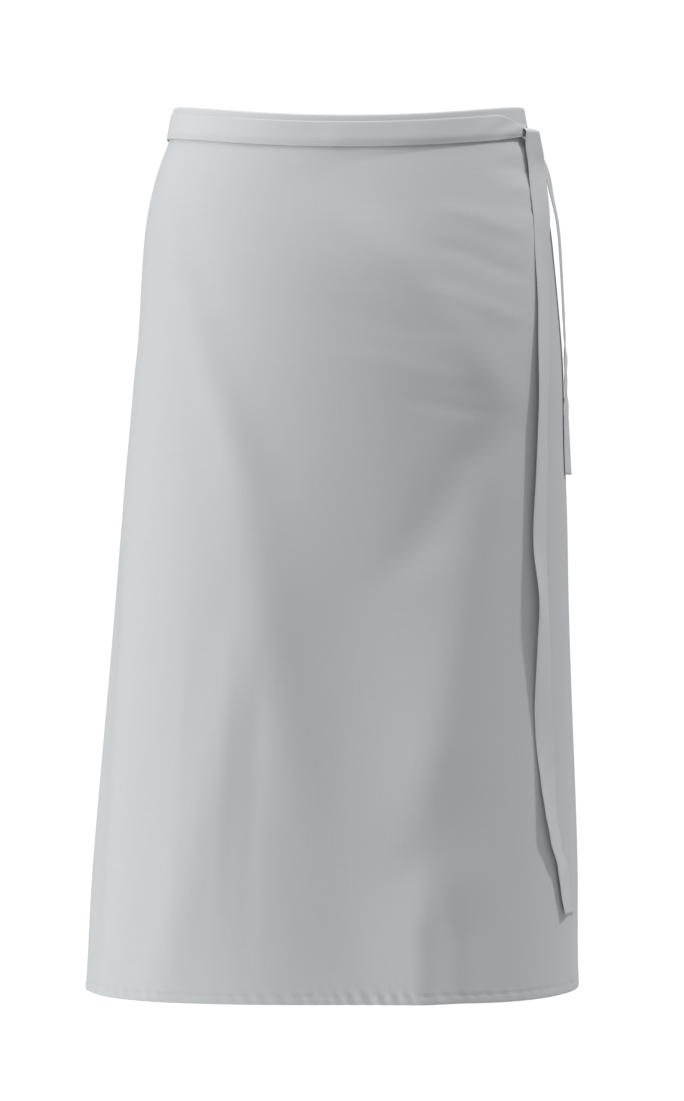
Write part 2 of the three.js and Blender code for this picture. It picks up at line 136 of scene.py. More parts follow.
# The long free end: drop is the share of its length, across and depth the place of its left edge as
# shares of the skirt's half width and front depth there, turn how far it faces sideways in degrees,
# width its share of the tape's width.
LONG_TAIL = table(
    "drop across depth turn width",
    [
        (0.0, 0.984, 0.41, 42, 0.74),
        (0.02, 0.961, 0.415, 44, 0.95),
        (0.042, 0.95, 0.405, 49, 1.0),
        (0.076, 0.932, 0.43, 49, 1.0),
        (0.146, 0.903, 0.478, 54, 1.0),
        (0.221, 0.893, 0.531, 62, 1.0),
        (0.28, 0.88, 0.586, 65, 1.0),
        (0.357, 0.87, 0.626, 67, 1.0),
        (0.437, 0.856, 0.65, 65, 1.0),
        (0.528, 0.832, 0.666, 58, 1.0),
        (0.598, 0.853, 0.68, 69, 1.0),
        (0.654, 0.841, 0.667, 62, 1.0),
        (0.73, 0.818, 0.645, 48, 1.0),
        (0.768, 0.818, 0.634, 47, 1.0),
        (0.806, 0.829, 0.63, 53, 1.0),
        (0.857, 0.849, 0.628, 62, 1.0),
        (0.887, 0.862, 0.622, 65, 1.0),
        (0.92, 0.884, 0.57, 65, 1.0),
        (0.94, 0.901, 0.53, 65, 1.0),
        (0.97, 0.915, 0.5, 69, 1.0),
        (1.0, 0.93, 0.465, 72, 1.0),
    ],
)

# The short free end: away is how far its middle hangs outside the skirt's side as a share of the tape's
# width, depth its place in front of the side as a share of the skirt's front depth.
SHORT_TAIL = table(
    "drop away depth turn width",
    [
        (0.0, 0.31, 0.27, 64, 0.45),
        (0.07, 0.4, 0.171, 72, 0.75),
        (0.16, 0.36, 0.107, 81, 1.0),
        (0.3, 0.3, 0.083, 83, 1.0),
        (0.5, 0.2, 0.076, 84, 1.0),
        (0.64, 0.14, 0.076, 84, 1.0),
        (0.76, 0.098, 0.0765, 80, 1.0),
        (0.88, 0.12, 0.077, 76, 1.0),
        (1.0, 0.14, 0.078, 74, 1.0),
    ],
)

# The tie across the open back: below is how far its middle lies under the band's top edge, proud how
# far it stands outside the cloth, both as shares of the tape's width.
BACK_TIE = table(
    "way below proud",
    [
        (0.0, 0.5, 0.0),
        (0.06, 0.72, 0.0),
        (0.13, 1.44, 0.0),
        (0.19, 1.76, 0.02),
        (0.27, 1.82, 0.1),
        (0.45, 1.8, 0.1),
        (0.65, 1.7, 0.1),
        (0.85, 1.45, 0.13),
        (1.0, 1.2, 0.22),
    ],
)


def between(rows, place, column, at):
    """A column of a table at places between its rows, on a smooth curve through them."""
    x, y = rows[place], rows[column]
    last = len(x) - 1
    before = np.maximum(np.arange(last + 1) - 1, 0)
    after = np.minimum(np.arange(last + 1) + 1, last)
    slope = (y[after] - y[before]) / (x[after] - x[before])
    at = np.clip(at, x[0], x[-1])
    i = np.clip(np.searchsorted(x, at, side="right") - 1, 0, last - 1)
    span = x[i + 1] - x[i]
    u = (at - x[i]) / span
    v = 1 - u
    ends = y[i] * (1 + 2 * u) * v * v + y[i + 1] * u * u * (3 - 2 * u)
    return ends + span * u * v * (slope[i] * v - slope[i + 1] * u)


def smooth(low, high, at):
    """0 up to low, 1 from high, and a soft step between."""
    share = np.clip((at - low) / (high - low), 0, 1)
    return share * share * (3 - 2 * share)


def mix(low, high, share):
    """The value a share of the way from low to high."""
    return low + (high - low) * share


def unit(vectors):
    """Vectors scaled to a length of one."""
    return vectors / np.linalg.norm(vectors, axis=-1, keepdims=True)


# Sizes and colours

def length(name, description, mm):
    """A size in metres, from its value in millimetres."""
    return FloatProperty(name=name, description=description, default=mm * MM, unit="LENGTH", precision=4)


def linear(hex_colour):
    """An sRGB hex colour as linear red, green and blue."""
    parts = [int(hex_colour[i:i + 2], 16) / 255 for i in (0, 2, 4)]
    return [c / 12.92 if c <= 0.04045 else ((c + 0.055) / 1.055) ** 2.4 for c in parts]


def colour(name, description, hex_colour):
    """A colour for the panel, from its sRGB hex value."""
    return FloatVectorProperty(
        name=name, description=description, default=linear(hex_colour), subtype="COLOR", min=0, max=1
    )


class ApronSkirt(bpy.types.PropertyGroup):
    """Sizes of the waist ring and the skirt."""

    waist_half_width: length("Waist half width", "Half the width of the waist ring", 159)
    waist_half_depth: length("Waist half depth", "Half the depth of the waist ring", 111)
    ring_squareness: FloatProperty(name="Ring squareness", description="2 is an ellipse", default=2.15)
    side_top: length("Side top", "Height of the band's top edge at the sides", 12)
    front_dip: length("Front dip", "How far that edge is lower at the front", 14)
    back_dip: length("Back dip", "How far that edge is lower at the back", 2)
    apron_drop: length("Drop", "Length from the top edge to the hem at the sides", 811)
    hem_rise_left: length("Hem rise left", "How far the hem rises at the left side", 3)
    hem_rise_right: length("Hem rise right", "How far the hem rises at the right side", 7)
    flare_left: length("Flare left", "How far the hem stands out past the waist on the left", 81)
    flare_right: length("Flare right", "How far the hem stands out past the waist on the right", 52)
    belly_reach: length("Belly reach", "How far the front stands out at the belly", 22)
    seat_reach: length("Seat reach", "How far the back stands out at the seat", 26)
    back_gap: length("Back gap", "Width left open at the back of the waist", 74)
    fold_reach: length("Fold reach", "Height of the deepest soft folds", 6)
    cloth_thickness: length("Cloth thickness", "Thickness of the skirt's cloth", 0.8)
    hem_height: length("Hem height", "Height of the bottom hem", 9)
    hem_width: length("Side hem width", "Width of the side hems", 13.8)
    fold_radius: length("Fold radius", "Radius of the turned edge of a hem", 0.75)


class ApronTape(bpy.types.PropertyGroup):
    """Sizes of the waistband, ties, knot, free ends and stitches."""

    tape_thickness: length("Tape thickness", "Thickness of the band and the ties", 1)
    tape_width: length("Tape width", "Width of the ties", 24)
    band_height: length("Band height", "Height of the waistband", 24)
    band_proud: length("Band proud", "From the cloth's middle to the middle of the band's wall", 1.4)
    clearance: length("Clearance", "Gap between pieces that lie on each other", 0.3)
    tie_below_top: length("Tie below top", "How far the front tie lies under the band's top edge", 6.8)
    knot_turn: FloatProperty(
        name="Knot turn", description="Place of the knot round the ring, in degrees", default=78.3
    )
    knot_below_top: length("Knot below top", "From the band's top edge down to the knot's middle", 29.5)
    knot_half_width: length("Knot half width", "Half the knot's width", 8)
    knot_half_height: length("Knot half height", "Half the knot's height", 7.5)
    knot_half_depth: length("Knot half depth", "Half the knot's depth", 4.2)
    knot_tuck: length("Knot tuck", "How far the front tie runs on into the knot", 5)
    long_tail_length: length("Long end", "Length of the long free end", 714)
    fold_rise: length("Fold rise", "Height of the long end's fold over the knot", 4)
    fold_over: length("Fold over", "Depth of the long end's fold over the knot", 5.8)
    short_tail_length: length("Short end", "Length of the short free end", 299)
    stitch_pitch: length("Stitch pitch", "Length from one stitch to the next", 3.1)
    stitch_length: length("Stitch length", "Length of thread that shows in each stitch", 2.3)
    thread_radius: length("Thread radius", "Half the thickness of the sewing thread", 0.2)
    seam_inset: length("Seam inset", "From a folded edge to its line of stitches", 2)


class ApronColours(bpy.types.PropertyGroup):
    """Colours of the cloth, tape and thread, and the strength of the lights."""

    cloth: colour("Cloth", "Colour of the skirt's poplin", "cdcfd1")
    tape: colour("Tape", "Colour of the band and the ties", "d3d4d6")
    thread: colour("Thread", "Colour of the sewing thread", "d3d5d7")
    floor: colour("Floor", "Colour of the studio floor", "e6e6e6")
    key_power: FloatProperty(
        name="Key light", description="Power of the large light on the left, in watts", default=55
    )
    top_strength: FloatProperty(
        name="Top light", description="Strength of the light from the upper right", default=1.6
    )
    overhead_power: FloatProperty(
        name="Overhead light", description="Power of the light above, in watts", default=9.5
    )
    sky_strength: FloatProperty(
        name="Fill light", description="Strength of the even light all round", default=0.32
    )


def in_mm(*groups):
    """The sizes of these groups as plain numbers, lengths in millimetres."""
    values = {}
    for group in groups:
        for key, prop in group.bl_rna.properties.items():
            if prop.type == "FLOAT" and not prop.is_array:
                values[key] = getattr(group, key) / (MM if prop.unit == "LENGTH" else 1)
    return SimpleNamespace(**values)


# The worn cloth

class WornCloth:
    """The middle of the worn cloth, by place across it in millimetres, 0 at the front and positive to the
    right, and by share of the drop."""

    # Steps of the grid that turns places into angles, and the range of drops and places that it covers.
    TURNS = 481
    LEVELS = 107
    LEVEL_RANGE = (-0.04, 1.02)
    PLACES = 961
    PAST_EDGE = 1.2
    # Steps in millimetres and radians over which directions are measured.
    STEP = 2.0
    ANGLE_STEP = 0.01
    # The hem rises at the sides alone, the more so the higher this power is.
    SIDE_POWER = 6
    # A fold fades in and out over these shares of its length.
    FADE_IN = 0.3
    FADE_OUT = 0.7

    def __init__(self, size, folds=(MAIN_FOLDS,), relief=None):
        self.size = size
        self.folds = folds
        self.relief = relief
        turns = np.linspace(0, math.pi, self.TURNS)
        self.levels = np.linspace(*self.LEVEL_RANGE, self.LEVELS)
        sides = [self._lengths(side * turns) for side in (-1, 1)]
        self.waist_around = sum(np.interp(0, self.levels, lengths[:, -1]) for lengths in sides)
        self.edge = (self.waist_around - size.back_gap) / 2
        far = self.PAST_EDGE * self.edge
        self.places = np.linspace(-far, far, self.PLACES)
        both = np.concatenate([-turns[::-1], turns[1:]])
        self.angles = np.array(
            [
                np.interp(self.places, np.concatenate([-left[::-1], right[1:]]), both)
                for left, right in zip(*sides)
            ]
        )
        waist_row = np.abs(self.levels).argmin()
        self.knot_across = float(np.interp(math.radians(size.knot_turn), turns, sides[1][waist_row]))

    def _lengths(self, turns):
        x, y = self.outline(turns[None, :], self.levels[:, None])
        steps = np.hypot(np.diff(x, axis=1), np.diff(y, axis=1))
        return np.pad(np.cumsum(steps, axis=1), ((0, 0), (1, 0)))

    def reach(self, side, drop):
        """How far the skirt reaches to the left, right, front or back."""
        size = self.size
        start = size.waist_half_width if side in ("left", "right") else size.waist_half_depth
        more = {
            "left": size.flare_left,
            "right": size.flare_right,
            "front": size.belly_reach,
            "back": size.seat_reach,
        }
        return start + more[side] * between(SECTIONS, "drop", side, drop)

    def outline(self, angle, drop):
        """The skirt's plain outline at an angle round it, 0 at the front and positive to the right."""

        def bend(value):
            return np.sign(value) * np.abs(value) ** (2 / self.size.ring_squareness)

        x, y = bend(np.sin(angle)), -bend(np.cos(angle))
        wide = np.where(x < 0, self.reach("left", drop), self.reach("right", drop))
        deep = np.where(y < 0, self.reach("front", drop), self.reach("back", drop))
        return x * wide, y * deep

    @staticmethod
    def _grid_place(grid, at):
        # Where a value lies in an even grid, as a whole step and a share of the next.
        place = np.clip((at - grid[0]) / (grid[1] - grid[0]), 0, len(grid) - 1.001)
        whole = place.astype(int)
        return whole, place - whole

    def _angle_of(self, across, drop):
        r, u = self._grid_place(self.levels, drop)
        c, v = self._grid_place(self.places, across)
        low = mix(self.angles[r, c], self.angles[r, c + 1], v)
        high = mix(self.angles[r + 1, c], self.angles[r + 1, c + 1], v)
        return mix(low, high, u)

    def angle_at(self, across, drop):
        """The angle of a place. Past the right edge it runs on over the open back to the left edge."""
        edge = np.full_like(across, self.edge)
        over = mix(
            self._angle_of(edge, drop),
            2 * math.pi + self._angle_of(-edge, drop),
            (across - self.edge) / self.size.back_gap,
        )
        return np.where(across <= self.edge, self._angle_of(across, drop), over)

    def fold_height(self, across, drop):
        """How far soft folds and finer relief stand out of the plain form."""
        height = np.zeros_like(across)
        for folds in self.folds:
            for a, d, a_end, d_end, spread, high in zip(*folds.values()):
                along = (drop - d) / (d_end - d)
                off = (across / self.edge - mix(a, a_end, along)) / spread
                fade = smooth(0, self.FADE_IN, along) * (1 - smooth(self.FADE_OUT, 1, along))
                height += self.size.fold_reach * high * fade * np.exp(-off * off)
        if self.relief:
            height += self.relief(self, across, drop)
        return height

    def middle(self, across, drop):
        """The middle of the cloth."""
        size = self.size
        angle = self.angle_at(across, drop)
        x, y = self.outline(angle, drop)
        deep, beside = np.cos(angle), np.sin(angle)
        top = size.side_top - np.where(deep > 0, size.front_dip, size.back_dip) * deep * deep
        rise = np.where(beside < 0, size.hem_rise_left, size.hem_rise_right) * np.abs(beside) ** self.SIDE_POWER
        z = top + drop * (size.side_top - size.apron_drop + rise - top)
        xa, ya = self.outline(angle - self.ANGLE_STEP, drop)
        xb, yb = self.outline(angle + self.ANGLE_STEP, drop)
        out = unit(np.stack([yb - ya, xa - xb, np.zeros_like(x)], axis=-1))
        return np.stack([x, y, z], axis=-1) + out * self.fold_height(across, drop)[..., None]

    def out(self, across, drop):
        """The direction out of the cloth, square to it."""
        step, fall = self.STEP, self.STEP / self.size.apron_drop
        beside = self.middle(across + step, drop) - self.middle(across - step, drop)
        up = self.middle(across, drop - fall) - self.middle(across, drop + fall)
        return unit(np.cross(beside, up))

    def point(self, across, drop, proud):
        """A point that stands proud of the cloth's middle."""
        across, drop, proud = np.broadcast_arrays(*(np.asarray(v, float) for v in (across, drop, proud)))
        return self.middle(across, drop) + self.out(across, drop) * proud[..., None]

    def below(self, mm):
        """The share of the drop so far under the band's top edge."""
        return np.asarray(mm, float) / self.size.apron_drop

    def above(self, mm):
        """The share of the drop so far above the hem."""
        return 1 - np.asarray(mm, float) / self.size.apron_drop

    def drop_of_height(self, z):
        """The share of the drop at a height on the skirt's side."""
        return (self.size.side_top - z) / self.size.apron_drop


# The hem's seam and puckers, in millimetres.
HEM_SEAM_INSET = 1
SEAM_DEPTH = 0.45
SEAM_SPREAD = 1.3
PUCKER_HEIGHT = 0.85
PUCKER_PITCH = 13.5
PUCKER_SPREAD = 6.5
PUCKER_BELOW_SEAM = 2
PUCKER_SLANT = 0.22


def sewn_relief(cloth, across, drop):
    """The hem's line of stitches drawn in, and the small slanting puckers between it and the edge."""
    above = (1 - drop) * cloth.size.apron_drop
    seam = cloth.size.hem_height - HEM_SEAM_INSET
    # Slow waves of unlike lengths, so that the puckers are uneven in place and in height.
    wander = 1.6 * np.sin(across / 29) + 0.9 * np.sin(across / 11.3 + 2)
    strength = 0.5 + 0.3 * np.sin(across / 47 + 1) + 0.2 * np.sin(across / 19)
    pucker = np.sin(across * 2 * math.pi / PUCKER_PITCH + wander + above * PUCKER_SLANT)
    reach = np.exp(-(((above - seam + PUCKER_BELOW_SEAM) / PUCKER_SPREAD) ** 2))
    drawn = np.exp(-(((above - seam) / SEAM_SPREAD) ** 2))
    return PUCKER_HEIGHT * pucker * strength * reach - SEAM_DEPTH * drawn


# Meshes

# The ends of a wall's section, and the edges of a tape, as shares of its full thickness.
WALL_END = 0.45
TAPE_EDGE = 0.25
# How square a tape's section is: it keeps its thickness nearly to its edges.
TAPE_SQUARENESS = 18

# One stitch: place along it, thickness as a share of the thread's, and how far its middle stands out of
# the cloth in thread radii.
STITCH = table(
    "place thickness lift",
    [
        (0.0, 0.25, -0.9),
        (0.12, 0.8, -0.1),
        (0.5, 1.0, 0.25),
        (0.88, 0.8, -0.1),
        (1.0, 0.25, -0.9),
    ],
)
STITCH_SIDES = 6


def make_object(name, points, faces, places, material):
    """An object from points in millimetres, with the cloth's own coordinates kept at each point."""
    mesh = bpy.data.meshes.new(name)
    mesh.from_pydata((np.asarray(points) * MM).tolist(), [], faces)
    attribute = mesh.attributes.new("cloth_place", "FLOAT_VECTOR", "POINT")
    attribute.data.foreach_set("vector", (np.asarray(places) * MM).astype(np.float32).ravel())
    mesh.materials.append(material)
    mesh.shade_smooth()
    mesh.validate()
    made = bpy.data.objects.new(name, mesh)
    bpy.context.scene.collection.objects.link(made)
    return made


def lofted(name, rings, places, material):
    """A closed piece through rings of points. Each ring goes along one side and back along the other, so
    its ends are closed by a ladder of faces."""
    stations, count = rings.shape[:2]
    base = np.arange(stations - 1)[:, None] * count
    i = np.arange(count)[None, :]
    j = (i + 1) % count
    sides = np.stack([base + i, base + j, base + j + count, base + i + count], axis=-1).reshape(-1, 4)
    i = np.arange(count // 2 - 1)
    start = np.stack([i + 1, i, count - 1 - i, count - 2 - i], axis=-1)
    end = start[:, ::-1] + (stations - 1) * count
    faces = np.concatenate([sides, start, end])
    points = rings.reshape(-1, 3)
    a, b, c, d = (points[faces[:, k]] for k in range(4))
    volume = np.sum(a * np.cross(b, c)) + np.sum(a * np.cross(c, d))
    if volume < 0:
        faces = faces[:, ::-1]
    return make_object(name, points, faces.tolist(), places.reshape(-1, 3), material)


def sided(path, half):
    """A flat path's two sides, half a wall away, as one closed section with rounded ends."""
    path = np.asarray(path, float)
    way = np.gradient(path, axis=0)
    way = way / np.linalg.norm(way, axis=1, keepdims=True)
    square = np.stack([way[:, 1], -way[:, 0]], axis=1)
    thin = np.full(len(path), half)
    thin[[0, -1]] *= WALL_END
    outer = path + square * thin[:, None]
    inner = path - square * thin[:, None]
    return np.concatenate([outer, inner[::-1]])


def turned(radius, steps=6):
    """A half turn of a folded edge, as (proud, above) from the edge's lowest point."""
    turn = np.linspace(0, math.pi, steps + 1)
    return np.stack([-radius * (1 - np.cos(turn)), radius * (1 - np.sin(turn))], axis=1)


def tape_rings(middle, width, out, shares, half, relief):
    """Rings of a flat tape: its middle, the vector across it and the direction out at each station."""
    shares = np.asarray(shares, float)
    thin = half * np.clip(np.sqrt(1 - (np.abs(2 * shares)) ** TAPE_SQUARENESS), TAPE_EDGE, 1)
    body = middle[:, None, :] + width[:, None, :] * shares[None, :, None]
    lift = relief[..., None] * out[:, None, :]
    wall = thin[None, :, None] * out[:, None, :]
    return np.concatenate([body + lift + wall, (body + lift - wall)[:, ::-1]], axis=1)


def weave_places(across, down):
    """The weave's coordinates, from places across the cloth and down it."""
    across, down = np.broadcast_arrays(across, down)
    return np.stack([across, down, np.zeros_like(across)], axis=-1)


def tape_places(along, shares, width):
    """The weave's coordinates on a tape's rings."""
    both = np.concatenate([shares, shares[::-1]]) * width
    return weave_places(both[None, :], along[:, None])


def stitch_row(starts, ends, out, radius):
    """Points and faces of a row of stitches: short lengths of thread, round and pressed into the cloth."""
    starts, ends = np.asarray(starts), np.asarray(ends)
    way = unit(ends - starts)
    beside = unit(np.cross(way, out))
    turn = np.linspace(0, 2 * math.pi, STITCH_SIDES + 1)[:-1]
    ring = np.stack([np.cos(turn), np.sin(turn)], axis=1)
    core = starts[:, None] + (ends - starts)[:, None] * STITCH["place"][None, :, None]
    core = core + out[:, None] * (STITCH["lift"] * radius)[None, :, None]
    spokes = ring[:, 0, None] * beside[:, None, None] + ring[:, 1, None] * out[:, None, None]
    points = core[:, :, None] + spokes * (STITCH["thickness"] * radius)[None, :, None, None]
    count, rows, sides = points.shape[:3]
    faces = []
    for s in range(count):
        base = s * rows * sides
        for r in range(rows - 1):
            for k in range(sides):
                a, b = base + r * sides + k, base + r * sides + (k + 1) % sides
                faces.append((a, b, b + sides, a + sides))
        faces.append(tuple(base + k for k in reversed(range(sides))))
        faces.append(tuple(base + (rows - 1) * sides + k for k in range(sides)))
    return points.reshape(-1, 3), faces


def stitches(name, rows, radius, material):
    """One object of several rows of stitches, each row as (starts, ends, directions out)."""
    points, faces = [], []
    first = 0
    for starts, ends, out in rows:
        row_points, row_faces = stitch_row(starts, ends, out, radius)
        points.append(row_points)
        faces.extend(tuple(i + first for i in face) for face in row_faces)
        first += len(row_points)
    points = np.concatenate(points)
    return make_object(name, points, faces, points, material)


def level_seam(cloth, size, starts, drop, faces):
    """Rows of stitches along the cloth at one drop. faces gives for each row how far it stands out of the
    cloth's middle, and 1 or -1 for the side that it faces."""
    rows = []
    for proud, facing in faces:
        a = cloth.point(starts, drop, proud)
        b = cloth.point(starts + size.stitch_length, drop, proud)
        rows.append((a, b, facing * cloth.out(starts, np.full_like(starts, drop))))
    return rows


# Materials

# A wave texture repeats after this much of its coordinate.
WAVE_REPEAT = 2 * math.pi / 20
# Threads that run a little unevenly.
THREAD_WAVE = {"Scale": 1.0, "Distortion": 0.5, "Detail": 1.0, "Detail Scale": 0.4}
SLUB_NOISE = {"Scale": 1.0, "Detail": 3.0, "Roughness": 0.6}
# Thick and thin places in the threads: long and narrow, one set down the warp and one along the weft.
SLUB_SCALES = ((700.0, 28.0, 1.0), (28.0, 620.0, 1.0))
SLUB_HEIGHT = 1.8
SLUB_RANGE = (0.6, 1.4)
WEAVE_BUMP = {"Strength": 0.28, "Distance": 0.0001}
CLOTH_SHADER = {"IOR": 1.5, "Specular IOR Level": 0.3, "Sheen Weight": 0.12, "Sheen Roughness": 0.5}


def node(tree, kind, inputs=None, **settings):
    """Adds a node with its settings, and links or sets its inputs."""
    made = tree.nodes.new(kind)
    for key, value in settings.items():
        setattr(made, key, value)
    for key, value in (inputs or {}).items():
        if isinstance(value, bpy.types.NodeSocket):
            tree.links.new(value, made.inputs[key])
        else:
            made.inputs[key].default_value = value
    return made


def new_material(name):
    """An empty material and its node tree."""
    material = bpy.data.materials.new(name)
    material.use_nodes = True
    material.node_tree.nodes.clear()
    return material, material.node_tree


def woven(name, colour_rgb, thread_mm, roughness, slub):
    """Woven cloth, with threads of a real spacing in millimetres."""
    material, tree = new_material(name)
    place = node(tree, "ShaderNodeAttribute", attribute_name="cloth_place").outputs["Vector"]
    scaled = {0: place, "Scale": WAVE_REPEAT / (thread_mm * MM)}
    threads = node(tree, "ShaderNodeVectorMath", scaled, operation="SCALE").outputs[0]
    waves = []
    for direction in ("X", "Y"):
        wave = node(tree, "ShaderNodeTexWave", {"Vector": threads, **THREAD_WAVE}, bands_direction=direction)
        waves.append(wave.outputs["Fac"])
    uneven = []
    for scale in SLUB_SCALES:
        at = node(tree, "ShaderNodeVectorMath", {0: place, 1: scale}, operation="MULTIPLY").outputs[0]
        uneven.append(node(tree, "ShaderNodeTexNoise", {"Vector": at, **SLUB_NOISE}).outputs["Fac"])
    weave = node(tree, "ShaderNodeMath", {0: waves[0], 1: waves[1]}, operation="MULTIPLY").outputs[0]
    slubs = node(tree, "ShaderNodeMath", {0: uneven[0], 1: uneven[1]}, operation="ADD").outputs[0]
    raised = {0: slubs, 1: SLUB_HEIGHT, 2: weave}
    height = node(tree, "ShaderNodeMath", raised, operation="MULTIPLY_ADD").outputs[0]
    bump = node(tree, "ShaderNodeBump", {**WEAVE_BUMP, "Height": height}).outputs["Normal"]
    low, high = SLUB_RANGE
    shades = {"Value": slubs, "From Min": low, "From Max": high, "To Min": 1 - slub, "To Max": 1 + slub}
    shade = node(tree, "ShaderNodeMapRange", shades).outputs["Result"]
    tinted = {0: tuple(colour_rgb), "Scale": shade}
    tint = node(tree, "ShaderNodeVectorMath", tinted, operation="SCALE").outputs[0]
    shader = node(
        tree,
        "ShaderNodeBsdfPrincipled",
        {"Base Color": tint, "Roughness": roughness, "Normal": bump, **CLOTH_SHADER},
    )
    node(tree, "ShaderNodeOutputMaterial", {"Surface": shader.outputs[0]})
    return material


def plain(name, colour_rgb, roughness):
    """An even finish."""
    material, tree = new_material(name)
    even = {"Base Color": (*colour_rgb, 1), "Roughness": roughness, "IOR": 1.5}
    shader = node(tree, "ShaderNodeBsdfPrincipled", even)
    node(tree, "ShaderNodeOutputMaterial", {"Surface": shader.outputs[0]})
    return material


def finish(name):
    """The apron's materials by name, each made once."""
    if name in bpy.data.materials:
        return bpy.data.materials[name]
    colours = bpy.context.scene.apron_colours
    if name == "polycotton_poplin_woven":
        # Polyester and cotton poplin, dyed light grey and pressed: matt and even, with threads 0.45 mm apart,
        # drawn at 1 mm so that the weave can show, and a faint slub along them.
        return woven(name, colours.cloth, thread_mm=1.0, roughness=0.82, slub=0.022)
    if name == "polycotton_tape_woven":
        # The same cloth cut into tape, folded and sewn, so the layers make it a little denser and smoother.
        return woven(name, colours.tape, thread_mm=1.0, roughness=0.78, slub=0.018)
    # Spun polyester sewing thread: pale, with a slight sheen.
    return plain("polyester_thread_spun", colours.thread, roughness=0.6)


def dress(piece, slot, *nodes):
    """A piece that rides with the apron and stands for these solids, which are hidden. slot is not used."""
    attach(piece, BODY)
    if nodes:
        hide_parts(*nodes)
    return piece


def sizes():
    """All the sizes in millimetres."""
    scene = bpy.context.scene
    return in_mm(scene.apron_skirt, scene.apron_tape)


def smooth_cloth():
    """The worn cloth's form without the fine relief, which the band and the ties follow."""
    return WornCloth(sizes())


def fine_cloth():
    """The worn cloth's form with all its folds and its sewn relief."""
    return WornCloth(sizes(), (MAIN_FOLDS, FINE_FOLDS), sewn_relief)


def cloth_columns(cloth, count, inset):
    """Places across the cloth from one side to the other."""
    return np.linspace(-cloth.edge + inset, cloth.edge - inset, count)


# Pieces

# In millimetres: how far thread sinks into a tape, and how wide the line is that it draws in.
THREAD_SINK = 0.2
TAPE_SEAM_SPREAD = 0.9
# From the ends of a tape to its first and last stitch.
TAPE_SEAM_START = 2
TAPE_SEAM_END = 3


